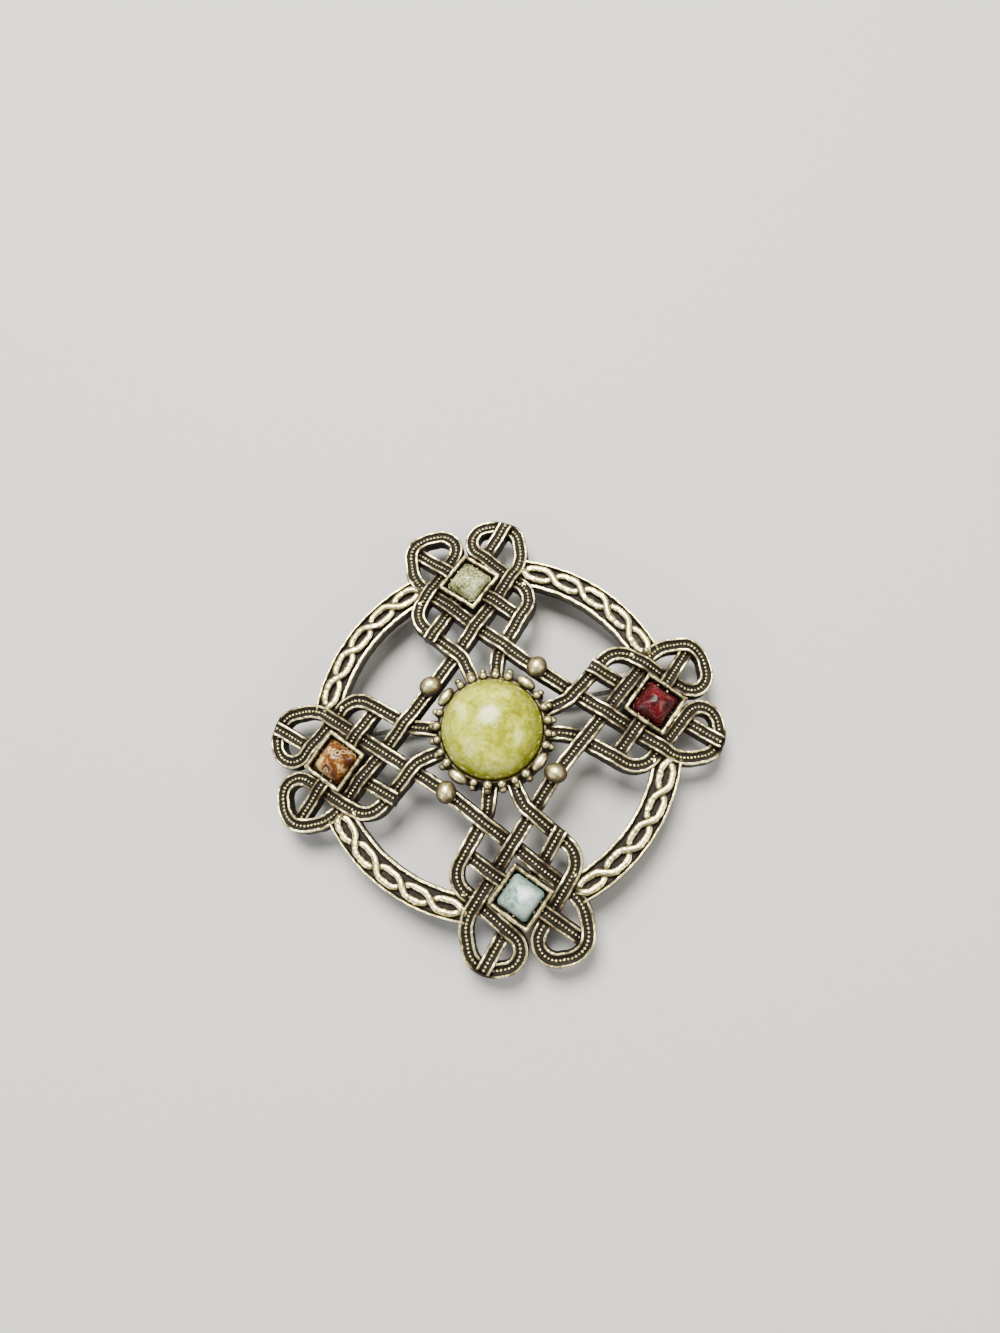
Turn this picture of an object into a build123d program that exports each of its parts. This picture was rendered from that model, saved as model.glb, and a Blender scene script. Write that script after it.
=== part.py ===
"""Cross-shaped knotwork brooch with five glass stones, a ring and a hinged pin.

Z is up with the stones upwards, and the brooch lies on its pin fittings at Z = 0.
The four arms point along +Y (top), +X (right), -Y (bottom) and -X (left).
"""

import os
from math import atan2, cos, degrees, radians, sin, sqrt, tan

from build123d import *

# Heights
ring_top = 4.8  # top of the ring's rails above the resting plane
ring_thickness = 1.7
arm_rise = 2.7  # where the arm planes would meet on the axis, above ring_top
arm_fall = 8.53  # degrees that each arm slopes down outwards
arm_thickness = 1.5
hub_drop = 0.6  # hub's underside below ring_top
hub_rim_rise = 2.0  # hub's rim above ring_top
hub_floor = 0.8

# Knotwork bands, laid out in the plane of one arm pointing up
band_width = 1.5
groove_width = 0.7
groove_depth = 0.2
over_lift = 0.35  # how far a band stands proud where it passes over another
over_length = 2.1
over_taper = 25
setting_reach = 17.33  # from the brooch's axis to the centre of a corner stone
loop_half = 6.2  # centreline of the outer loops, from the arm's own centreline
loop_foot = 1.55
loop_rise = 6.8
loop_return = 1.25
belly_half = 6.9
belly_drop = 2.9
tail_half = 1.9
tail_rise = 1.7
root_half = 1.2
root_sink = 0.5
foot_radius = 4.0
loop_radius = 2.6
return_radius = 1.9
belly_radius = 2.5
tail_radius = 1.5
bar_a_upper = (4.75, 6.15)  # bar ends, across and along from the setting's centre
bar_a_lower = (-5.3, -6.1)
bar_b_upper = (-4.7, 4.45)
bar_b_lower = (4.6, -4.85)

# Ring
ring_inner = 16.9
ring_width = 3.1
rail_width = 0.6
ring_channel = 0.6
link_width = 1.9
link_hole = 0.7
link_rise = 0.45
link_pitch = 6.4  # degrees
link_count = 6
ring_overrun = 12  # degrees from an arm's centreline to where a ring arc is first cut

# Hub, beads and studs
dome_radius = 5.35
dome_height = 4.0
stone_clearance = 0.05
hub_wall = 1.3
grain_radius = 0.5
grains_per_quarter = 5
grain_step = 13.5  # degrees between neighbouring grains
long_bead = 2.3
long_bead_width = 1.2
long_bead_edge = 0.48
stud_gap = 1.42  # from the hub's wall to the centre of a stud ball
stud_radius = 1.1
stud_post = 0.95
stud_drop = 0.35  # ball's centre above the bands' top

# Corner settings
stone_side = 3.7
stone_rise = 1.45
stone_girdle = 0.45
setting_wall = 0.61
setting_rise = 0.55
setting_floor = 0.6

# Pin, hinge and catch
pin_offset = 3.0  # pin line above the brooch's centre, along +Y
fitting_radius = 1.4
hinge_inset = 2.63  # from the right setting's centre inwards to the hinge
ear_width = 0.7
knuckle_width = 1.0
knuckle_radius = 0.95
knuckle_gap = 0.05
rivet_radius = 0.35
rivet_head = 0.6
rivet_head_height = 0.3
rivet_head_taper = 30
rivet_clearance = 0.04
pin_radius = 0.4
pin_root_radius = 0.5
pin_root = 2.5  # length over which the stem thickens towards its eye
pin_past_catch = 2.2
pin_taper = 4.0
pin_point = 0.06
catch_inset = 2.73  # from the left setting's centre inwards to the catch
catch_length = 1.9
catch_wall = 0.4
roller_clearance = 0.05
roller_wall = 0.4
roller_flange = 0.3
flange_radius = 1.25
mouth_width = 1.04
lever_length = 1.75
lever_width = 0.9
block_side = 2.0
swing_room = 0.12

# Worked out from the values above
pin_z = fitting_radius
arm_apex = ring_top + arm_rise
hub_base = ring_top - hub_drop
hub_top = ring_top + hub_rim_rise
hub_bore = dome_radius + stone_clearance
hub_outer = hub_bore + hub_wall
stud_reach = hub_outer + stud_gap
hinge_reach = setting_reach - hinge_inset
catch_reach = setting_reach - catch_inset
ring_outer = ring_inner + ring_width
ring_middle = ring_inner + ring_width / 2
setting_side = stone_side + 2 * (stone_clearance + setting_wall)
ear_spread = knuckle_width / 2 + knuckle_gap + ear_width
tall = 20  # longer than any height here, for cuts that pass right through
arms = {"top": 90, "right": 0, "bottom": -90, "left": 180}
quarters = {"top_right": 45, "bottom_right": -45, "bottom_left": -135, "top_left": 135}


def along(radius):
    """Distance measured down the arm's slope for a plan radius."""
    return radius / cos(radians(arm_fall))


def arm_plane(angle):
    """Top plane of the bands of the arm that points at this plan angle."""
    turn = radians(angle)
    fall = radians(arm_fall)
    return Plane(
        origin=(0, 0, arm_apex),
        x_dir=(sin(turn), -cos(turn), 0),
        z_dir=(sin(fall) * cos(turn), sin(fall) * sin(turn), cos(fall)),
    )


def crossing(over, under):
    """Point where two straight runs cross, and the plan angle of the upper one."""
    (ax, ay), (bx, by) = over
    (cx, cy), (dx, dy) = under
    slant = (bx - ax) * (dy - cy) - (by - ay) * (dx - cx)
    share = ((cx - ax) * (dy - cy) - (cy - ay) * (dx - cx)) / slant
    point = (ax + share * (bx - ax), ay + share * (by - ay))
    return point, degrees(atan2(by - ay, bx - ax))


def save(part, name):
    """Label a finished piece and write it."""
    part.label = name
    export_step(part, f"parts/{name}.step")


os.makedirs("parts", exist_ok=True)

# Knotwork outline, shared by the four arms
setting_along = along(setting_reach)
stud_side = stud_reach / sqrt(2)
hub_along = along(hub_outer)


def strand_points(side):
    """Corners of one interlaced strand; side 1 starts at the left stud, -1 is its mirror."""
    corners = [
        (-stud_side, along(stud_side)),
        (loop_half, setting_along + loop_foot),
        (loop_half, setting_along + loop_rise),
        (-loop_return, setting_along + loop_rise),
        (belly_half, setting_along - belly_drop),
        (tail_half, hub_along + tail_rise),
        (root_half, hub_along - root_sink),
    ]
    return [(side * x, y) for x, y in corners]


def bar_points(upper, lower):
    """Ends of a straight bar in the arm's plane."""
    return [(upper[0], setting_along + upper[1]), (lower[0], setting_along + lower[1])]


strand_radii = [foot_radius, loop_radius, return_radius, belly_radius, tail_radius]
loop_edges = 6  # lines and arcs from a strand's stud end to where it turns back
strand_a = strand_points(1)
strand_b = strand_points(-1)
bar_a = bar_points(bar_a_upper, bar_a_lower)
bar_b = bar_points(bar_b_upper, bar_b_lower)


def band_face(width):
    """All bands of one arm as one flat face, traced at one width in the arm's plane."""
    runs = []  # each run of band by itself doesn't cross itself
    for corners in (strand_a, strand_b):
        with BuildLine() as path:
            FilletPolyline(*corners, radius=strand_radii)
        runs += [path.edges()[:loop_edges], path.edges()[loop_edges:]]
    for ends in (bar_a, bar_b):
        with BuildLine() as path:
            Line(*ends)
        runs.append(path.edges())
    with BuildPart() as blank:
        for run in runs:
            with BuildSketch(mode=Mode.PRIVATE) as traced:
                trace(run, line_width=width)
            with BuildSketch(Plane.XY.offset(-arm_thickness)):
                add(traced.sketch)
            extrude(amount=arm_thickness)
    return blank.faces().sort_by(Axis.Z)[-1]


bands = band_face(band_width)
grooves = band_face(groove_width)
arm_outline = Face(bands.outer_wire())

line_a = strand_a[0:2]
line_b = strand_b[0:2]
return_a = strand_a[3:5]
return_b = strand_b[3:5]
tail_a = strand_a[4:6]
tail_b = strand_b[4:6]
overs = [
    crossing(line_a, line_b),
    crossing(line_a, return_a),
    crossing(return_a, bar_a),
    crossing(tail_a, bar_b),
    crossing(line_b, tail_a),
    crossing(line_b, bar_a),
    crossing(return_b, line_b),
    crossing(tail_b, line_a),
    crossing(bar_a, tail_b),
    crossing(bar_b, line_a),
    crossing(bar_b, return_b),
]

# Four knotwork arms
for name, angle in arms.items():
    plane = arm_plane(angle)
    with BuildPart() as arm:
        with BuildSketch(plane):
            add(bands)
        extrude(amount=-arm_thickness)
        with BuildSketch(plane):
            add(grooves)
        extrude(amount=-groove_depth, mode=Mode.SUBTRACT)
        with BuildSketch(plane.offset(-groove_depth)):
            for point, turn in overs:
                with Locations(point):
                    Rectangle(over_length, band_width, rotation=turn)
        extrude(amount=groove_depth + over_lift, taper=over_taper)
        with BuildSketch(plane):
            with Locations((0, setting_along)):
                Rectangle(setting_side, setting_side, rotation=45)
        extrude(amount=tall, both=True, mode=Mode.SUBTRACT)
        Cylinder(hub_outer, tall, mode=Mode.SUBTRACT)
        with PolarLocations(stud_reach, 4, start_angle=45):
            Cylinder(stud_post, tall, mode=Mode.SUBTRACT)
    save(arm.part, f"arm_{name}")

# Square settings at the arms' middles and the stones in them
stone_half = stone_side / 2
stones = {"top": "stone_grey", "right": "stone_red", "bottom": "stone_milky", "left": "stone_amber"}
for name, angle in arms.items():
    plane = arm_plane(angle)
    with BuildPart() as setting:
        with BuildSketch(plane.offset(-arm_thickness)):
            with Locations((0, setting_along)):
                Rectangle(setting_side, setting_side, rotation=45)
        extrude(amount=arm_thickness + setting_rise)
        with BuildSketch(plane.offset(setting_floor - arm_thickness)):
            with Locations((0, setting_along)):
                Rectangle(*[stone_side + 2 * stone_clearance] * 2, rotation=45)
        extrude(amount=tall, mode=Mode.SUBTRACT)
    save(setting.part, f"setting_{name}")

    seat = plane.offset(setting_floor - arm_thickness) * Pos(0, setting_along, 0) * Rot(0, 0, 45)
    body_height = arm_thickness + setting_rise - setting_floor - stone_girdle
    with BuildPart() as stone:
        for turn in (0, 90):
            face_plane = Plane(seat * Rot(0, 0, turn) * Pos(0, stone_half, 0) * Rot(90, 0, 0))
            with BuildSketch(face_plane):
                with BuildLine():
                    Polyline(
                        (-stone_half, body_height),
                        (-stone_half, 0),
                        (stone_half, 0),
                        (stone_half, body_height),
                    )
                    ThreePointArc(
                        (stone_half, body_height),
                        (0, body_height + stone_rise),
                        (-stone_half, body_height),
                    )
                make_face()
            extrude(amount=stone_side, mode=Mode.ADD if turn == 0 else Mode.INTERSECT)
    save(stone.part, stones[name])

# Four ring arcs between the arms, each with two rails and a linked braid in its channel
for name, angle in quarters.items():
    start = angle - 45 + ring_overrun
    span = 90 - 2 * ring_overrun
    with BuildPart() as ring_arc:
        with BuildSketch(Plane.XY.offset(ring_top - ring_thickness)):
            with BuildLine():
                outer = CenterArc((0, 0), ring_outer, start, span)
                inner = CenterArc((0, 0), ring_inner, start, span)
                Line(outer @ 0, inner @ 0)
                Line(outer @ 1, inner @ 1)
            make_face()
        extrude(amount=ring_thickness)
        with BuildSketch(Plane.XY.offset(ring_top)):
            Circle(ring_outer - rail_width)
            Circle(ring_inner + rail_width, mode=Mode.SUBTRACT)
        extrude(amount=-ring_channel, mode=Mode.SUBTRACT)
        link_start = angle - link_pitch * (link_count - 1) / 2
        with BuildSketch(Plane.XY.offset(ring_top - ring_channel)):
            with PolarLocations(ring_middle, link_count, link_start, link_pitch * link_count):
                Circle(link_width / 2)
            with PolarLocations(ring_middle, link_count, link_start, link_pitch * link_count):
                Circle(link_hole / 2, mode=Mode.SUBTRACT)
        extrude(amount=link_rise)
        for arm_angle in (angle - 45, angle + 45):
            with BuildSketch(arm_plane(arm_angle)):
                add(arm_outline)
            extrude(amount=tall, both=True, mode=Mode.SUBTRACT)
    save(ring_arc.part, f"ring_{name}")

# Hub cup
with BuildPart() as hub:
    with BuildSketch(Plane.XY.offset(hub_base)):
        Circle(hub_outer)
    extrude(amount=hub_top - hub_base)
    with BuildSketch(Plane.XY.offset(hub_base + hub_floor)):
        Circle(hub_bore)
    extrude(amount=tall, mode=Mode.SUBTRACT)
save(hub.part, "hub_cup")

# Grains and long beads on the hub's rim
rim_middle = (hub_bore + hub_outer) / 2
with BuildPart() as grains:
    for angle in arms.values():
        first = angle - grain_step * (grains_per_quarter - 1) / 2
        with Locations((0, 0, hub_top)):
            with PolarLocations(rim_middle, grains_per_quarter, first, grain_step * grains_per_quarter):
                Sphere(grain_radius, arc_size1=0, align=(Align.CENTER, Align.CENTER, Align.MIN))
save(grains.part, "rim_grains")

with BuildPart() as long_beads:
    with BuildSketch(Plane.XY.offset(hub_top)):
        with PolarLocations(rim_middle, 4, start_angle=45):
            SlotOverall(long_bead, long_bead_width, rotation=90)
    extrude(amount=long_bead_width / 2)
    fillet(long_beads.edges().group_by(Axis.Z)[-1], long_bead_edge)
save(long_beads.part, "rim_long_beads")

# Centre stone, a spherical cap on a short girdle
girdle_z = hub_top
cap_radius = (dome_radius**2 + dome_height**2) / (2 * dome_height)
cap_centre = girdle_z + dome_height - cap_radius
cap_start = degrees(atan2(girdle_z - cap_centre, dome_radius))
with BuildPart() as dome:
    with BuildSketch(Plane.XZ):
        with BuildLine():
            Polyline(
                (0, hub_base + hub_floor), (dome_radius, hub_base + hub_floor), (dome_radius, girdle_z)
            )
            CenterArc((0, cap_centre), cap_radius, cap_start, 90 - cap_start)
            Line((0, girdle_z + dome_height), (0, hub_base + hub_floor))
        make_face()
    revolve(axis=Axis.Z)
save(dome.part, "stone_centre")

# Stud balls between the arms, each on a short post that the bands run into
stud_top = arm_apex - stud_side * tan(radians(arm_fall))
for name, angle in quarters.items():
    place = (stud_reach * cos(radians(angle)), stud_reach * sin(radians(angle)))
    with BuildPart() as stud:
        with BuildSketch(Plane.XY.offset(stud_top - arm_thickness)):
            with Locations(place):
                Circle(stud_post)
        extrude(amount=arm_thickness + stud_drop)
        with Locations((*place, stud_top + stud_drop)):
            Sphere(stud_radius)
    save(stud.part, f"stud_{name}")

# Hinge bracket under the right arm, with two ears and the rivet through them
hinge_centre = (hinge_reach, pin_offset, pin_z)
hinge_plane = Plane(origin=hinge_centre, x_dir=(1, 0, 0), z_dir=(0, -1, 0))
ear_gap = knuckle_width + 2 * knuckle_gap
with BuildPart() as bracket:
    with BuildSketch(hinge_plane):
        Circle(fitting_radius)
        Rectangle(2 * fitting_radius, tall, align=(Align.CENTER, Align.MIN))
    extrude(amount=ear_spread, both=True)
    split(bisect_by=arm_plane(arms["right"]).offset(-arm_thickness), keep=Keep.BOTTOM)
    with BuildSketch(hinge_plane):
        with Locations((0, knuckle_radius + swing_room)):
            Rectangle(tall, tall, align=(Align.CENTER, Align.MAX))
    extrude(amount=ear_gap / 2, both=True, mode=Mode.SUBTRACT)
    with BuildSketch(hinge_plane):
        Circle(rivet_radius)
    extrude(amount=tall, both=True, mode=Mode.SUBTRACT)
save(bracket.part, "hinge_bracket")

with BuildPart() as rivet:
    with BuildSketch(hinge_plane):
        Circle(rivet_radius)
    extrude(amount=ear_spread, both=True)
    for side in (-1, 1):
        with BuildSketch(hinge_plane.offset(side * ear_spread)):
            Circle(rivet_head)
        extrude(amount=side * rivet_head_height, taper=rivet_head_taper)
save(rivet.part, "hinge_rivet")

# Pin stem with its eye
pin_length = hinge_reach + catch_reach + pin_past_catch
stem_plane = Plane(origin=hinge_centre, x_dir=(-1, 0, 0), z_dir=(0, 1, 0))
with BuildPart() as pin:
    with BuildSketch(stem_plane):
        Polygon(
            (0, 0),
            (0, pin_root_radius),
            (pin_root, pin_radius),
            (pin_length - pin_taper, pin_radius),
            (pin_length, pin_point),
            (pin_length, 0),
            align=None,
        )
    revolve(axis=Axis(hinge_centre, (1, 0, 0)))
    with BuildSketch(hinge_plane):
        Circle(knuckle_radius)
    extrude(amount=knuckle_width / 2, both=True)
    with BuildSketch(hinge_plane):
        Circle(rivet_radius + rivet_clearance)
    extrude(amount=tall, both=True, mode=Mode.SUBTRACT)
save(pin.part, "pin_stem")

# Catch under the left arm: an open barrel and the roller that closes its mouth
catch_plane = Plane(origin=(-catch_reach, pin_offset, pin_z), x_dir=(0, 1, 0), z_dir=(1, 0, 0))
barrel_bore = fitting_radius - catch_wall
roller_radius = barrel_bore - roller_clearance
roller_bore = roller_radius - roller_wall
with BuildPart() as catch:
    with BuildSketch(catch_plane):
        Circle(fitting_radius)
        Rectangle(block_side, tall, align=(Align.CENTER, Align.MIN))
    extrude(amount=catch_length / 2, both=True)
    split(bisect_by=arm_plane(arms["left"]).offset(-arm_thickness), keep=Keep.BOTTOM)
    with BuildSketch(catch_plane):
        Circle(barrel_bore)
        Rectangle(mouth_width, tall, align=(Align.CENTER, Align.MAX))
    extrude(amount=catch_length, both=True, mode=Mode.SUBTRACT)
save(catch.part, "catch_barrel")

flange_in = catch_length / 2 + roller_clearance
with BuildPart() as roller:
    with BuildSketch(catch_plane):
        Circle(roller_radius)
    extrude(amount=flange_in, both=True)
    for side in (-1, 1):
        with BuildSketch(catch_plane.offset(side * flange_in)):
            Circle(flange_radius)
            if side < 0:
                SlotCenterPoint((0, 0), (lever_length - lever_width / 2, 0), lever_width)
        extrude(amount=side * roller_flange)
    with BuildSketch(catch_plane):
        Circle(roller_bore)
        Rectangle(mouth_width, tall, align=(Align.CENTER, Align.MAX))
    extrude(amount=tall, both=True, mode=Mode.SUBTRACT)
save(roller.part, "catch_roller")
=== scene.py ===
import math

import bpy
from mathutils import Matrix, Vector, noise


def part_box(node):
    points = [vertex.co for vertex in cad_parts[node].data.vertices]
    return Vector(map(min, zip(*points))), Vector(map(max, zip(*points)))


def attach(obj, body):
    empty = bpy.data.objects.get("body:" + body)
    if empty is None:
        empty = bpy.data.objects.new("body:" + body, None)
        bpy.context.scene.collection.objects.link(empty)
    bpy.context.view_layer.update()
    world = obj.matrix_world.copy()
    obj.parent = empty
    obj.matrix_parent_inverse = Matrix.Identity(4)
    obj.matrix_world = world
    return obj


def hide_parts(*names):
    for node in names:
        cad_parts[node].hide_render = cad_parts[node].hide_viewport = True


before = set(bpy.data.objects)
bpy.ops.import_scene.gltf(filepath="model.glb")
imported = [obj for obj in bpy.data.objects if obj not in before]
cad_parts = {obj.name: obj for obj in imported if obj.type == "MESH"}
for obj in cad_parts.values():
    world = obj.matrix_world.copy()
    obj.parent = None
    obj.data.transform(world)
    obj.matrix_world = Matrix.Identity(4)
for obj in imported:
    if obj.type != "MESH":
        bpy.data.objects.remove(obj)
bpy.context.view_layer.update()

mm = 0.001
quarterTurns = {"top": 90, "right": 0, "bottom": -90, "left": 180}
diagonals = {"top_right": 45, "bottom_right": -45, "bottom_left": -135, "top_left": 135}
print("frame loaded:", len(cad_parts), "nodes")


# places read from the frame, in millimetres
def lowCorner(node):
    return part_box(node)[0] / mm


def highCorner(node):
    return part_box(node)[1] / mm


ringTop = highCorner("ring_top_right").z
hubRadius = highCorner("hub_cup").x
hubTop = highCorner("hub_cup").z
hubFoot = lowCorner("hub_cup").z
domeRadius = highCorner("stone_centre").x
domeTop = highCorner("stone_centre").z
studMiddle = (lowCorner("stud_top_right") + highCorner("stud_top_right")) / 2
studRadius = (highCorner("stud_top_right").x - lowCorner("stud_top_right").x) / 2
studHeight = highCorner("stud_top_right").z - studRadius


# camera, light and floor
view = {
    "turn": (-15.56, -5.57, 9.19),  # degrees about X, Y and Z, camera from brooch
    "offset": (-0.63, -7.12, -106.65),  # brooch's ring centre as the camera sees it, mm
    "lens": 27.0,
    # each light's place and size in metres, power in watts, and colour
    "keyLight": [(-0.01, 0.20, 0.43), 0.25, 6.3, (1.0, 0.97, 0.90)],
    "fillLight": [(0.35, -0.15, 0.28), 0.20, 1.1, (1.0, 0.95, 0.86)],
    "backLight": [(-0.30, -0.16, 0.24), 0.22, 0.7, (0.95, 0.97, 1.0)],
    "worldColour": (0.90, 0.90, 0.88, 1),
    "worldStrength": 0.33,
    "floorColours": [(0.50, 0.495, 0.48, 1), (0.58, 0.575, 0.56, 1)],
    "floorReach": 3.0,
}


def setCamera():
    turnX, turnY, turnZ = [math.radians(angle) for angle in view["turn"]]
    turn = Matrix.Rotation(turnX, 3, "X") @ Matrix.Rotation(turnY, 3, "Y") @ Matrix.Rotation(turnZ, 3, "Z")
    offset = Vector(view["offset"])
    place = -(turn.transposed() @ offset) + Vector((0, 0, ringTop))
    data = bpy.data.cameras.new("camera")
    data.lens = view["lens"]
    data.sensor_width = 36
    data.clip_start = 0.005
    camera = bpy.data.objects.new("camera", data)
    camera.matrix_world = Matrix.Translation(place * mm) @ turn.transposed().to_4x4()
    bpy.context.scene.collection.objects.link(camera)
    bpy.context.scene.camera = camera


def addLight(name, place, size, power, colour):
    data = bpy.data.lights.new(name, "AREA")
    data.shape = "DISK"
    data.size = size
    data.energy = power
    data.color = colour
    lamp = bpy.data.objects.new(name, data)
    lamp.location = place
    lamp.rotation_euler = (-Vector(place)).to_track_quat("-Z", "Y").to_euler()
    bpy.context.scene.collection.objects.link(lamp)


setCamera()
for name in ("keyLight", "fillLight", "backLight"):
    addLight(name, *view[name])
world = bpy.data.worlds.new("studio")
world.use_nodes = True
world.node_tree.nodes["Background"].inputs["Color"].default_value = view["worldColour"]
world.node_tree.nodes["Background"].inputs["Strength"].default_value = view["worldStrength"]
bpy.context.scene.world = world
print("camera and light set")


# shader sums
class Signal:
    def __init__(self, tree, socket=None):
        self.tree = tree
        self.socket = socket

    def add(self, kind, settings=None, sockets=None, out=0):  # any node: type, settings first, then sockets
        node = self.tree.nodes.new(kind)
        for name, value in (settings or {}).items():
            if name == "stops":
                ramp = node.color_ramp.elements
                while len(ramp) < len(value):
                    ramp.new(0.5)
                for element, (position, colour) in zip(ramp, value):
                    element.position = position
                    element.color = (*colour, 1)
            else:
                setattr(node, name, value)
        for name, value in (sockets or {}).items():
            if isinstance(value, Signal):
                self.tree.links.new(value.socket, node.inputs[name])
            else:
                node.inputs[name].default_value = value
        return Signal(self.tree, node.outputs[out]) if node.outputs else node

    def maths(self, operation, first, second=0.0, clamp=False):
        settings = {"operation": operation, "use_clamp": clamp}
        return self.add("ShaderNodeMath", settings, {0: first, 1: second})

    def __add__(self, other):
        return self.maths("ADD", self, other)

    def __radd__(self, other):
        return self.maths("ADD", other, self)

    def __sub__(self, other):
        return self.maths("SUBTRACT", self, other)

    def __rsub__(self, other):
        return self.maths("SUBTRACT", other, self)

    def __mul__(self, other):
        return self.maths("MULTIPLY", self, other)

    def __rmul__(self, other):
        return self.maths("MULTIPLY", other, self)

    def __abs__(self):
        return self.maths("ABSOLUTE", self)

    def limited(self):  # held between 0 and 1
        return self.maths("ADD", self, 0.0, clamp=True)

    def band(self, middle, width):  # 1 where the value is near the middle, 0 further off than width
        return (1 - abs(self - middle) * (1 / width)).limited()

    def ramp(self, stops):
        return self.add("ShaderNodeValToRGB", {"stops": stops}, {0: self})

    def blend(self, first, second):  # colours, this value being the share of the second
        return self.add("ShaderNodeMix", {"data_type": "RGBA"}, {0: self, 6: first, 7: second}, 2)

    def shifted(self, other, amount):  # vectors: this one moved by a share of the other
        moved = self.add("ShaderNodeVectorMath", {"operation": "SCALE"}, {0: other, "Scale": amount})
        return self.add("ShaderNodeVectorMath", {"operation": "ADD"}, {0: self, 1: moved})

    def noise(self, size, detail=3.0, roughness=0.55, out=0):  # size of a feature in mm
        sockets = {"Vector": self, "Scale": 1 / (size * mm), "Detail": detail, "Roughness": roughness}
        return self.add("ShaderNodeTexNoise", None, sockets, out)

    def cells(self, size, feature="F1", out=0):
        sockets = {"Vector": self, "Scale": 1 / (size * mm)}
        return self.add("ShaderNodeTexVoronoi", {"feature": feature}, sockets, out)


def newMaterial(name):
    material = bpy.data.materials.new(name)
    material.use_nodes = True
    tree = material.node_tree
    tree.nodes.clear()
    start = Signal(tree)
    return material, start, start.add("ShaderNodeTexCoord", out=3)


def finishMaterial(start, sockets):
    shader = start.add("ShaderNodeBsdfPrincipled", None, sockets)
    start.add("ShaderNodeOutputMaterial", None, {"Surface": shader})


# antiqued silver: bright where it is worn, brown-black where it is never polished, and darker where shade is
# painted in through the worn attribute
silver = {
    "patina": (0.009, 0.0065, 0.004),
    "brown": (0.045, 0.032, 0.017),
    "dull": (0.135, 0.102, 0.05),
    "bright": (0.97, 0.87, 0.45),
    "from": {"patina": 0.10, "brown": 0.36, "dull": 0.64, "bright": 1.0},  # the worn value at which each colour sits
    "grime": 1.15,
    "patches": 0.5,
    "pitting": 0.75,
    "rough": 0.68, "shine": 0.42,  # roughness where dull, and how much less it is where worn
}


def antiqueSilver(name, wornShift, mottle=1.0):
    material, start, place = newMaterial(name)
    worn = start.add("ShaderNodeAttribute", {"attribute_name": "worn"}, out=2)
    patches = place.noise(2.2, 2.0)
    grime = place.noise(0.42, 4.0, 0.62)
    grain = place.noise(0.09, 2.0)
    spotted = (grime - 0.5) * silver["grime"] + (patches - 0.5) * silver["patches"]
    cover = (worn + spotted * mottle + wornShift).limited()
    stops = [(at, silver[tone]) for tone, at in silver["from"].items()]
    roughness = silver["rough"] - cover * silver["shine"] + (grain - 0.5) * 0.2
    height = grime * 0.6 + grain * 0.4
    dents = {"Strength": silver["pitting"], "Distance": 0.00008, "Height": height}
    bump = start.add("ShaderNodeBump", None, dents)
    finishMaterial(start, {
        "Base Color": cover.ramp(stops),
        "Metallic": 0.25 + cover * 0.75,
        "Roughness": roughness,
        "Specular IOR Level": 0.35,
        "Normal": bump,
    })
    return material


fittings = {
    "cast": {"dark": (0.16, 0.145, 0.12), "light": (0.52, 0.49, 0.43), "rough": 0.42, "streak": 0.3},
    "steel": {"dark": (0.30, 0.30, 0.29), "light": (0.72, 0.72, 0.70), "rough": 0.24, "streak": 0.12},
    "roller": {"dark": (0.22, 0.20, 0.16), "light": (0.66, 0.61, 0.50), "rough": 0.30, "streak": 0.2},
}


def fittingMetal(name, look):
    material, start, place = newMaterial(name)
    tarnish = place.noise(0.9, 4.0, 0.6)
    scratches = place.noise(look["streak"], 5.0, 0.7)
    tone = (tarnish * 1.5 - 0.35).limited()
    bump = start.add("ShaderNodeBump", None, {"Strength": 0.35, "Distance": 0.00003, "Height": scratches})
    finishMaterial(start, {
        "Base Color": tone.blend((*look["dark"], 1), (*look["light"], 1)),
        "Metallic": 1.0,
        "Roughness": look["rough"] + (1 - tone) * 0.22,
        "Normal": bump,
    })
    return material


# marbled glass
def screenColour(red, green, blue):  # a colour as picked on a screen, 0 to 255
    return tuple(((part / 255 + 0.055) / 1.055) ** 2.4 for part in (red, green, blue))


# each glass's edge colour is painted shade, laid on towards the stone's edge
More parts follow.
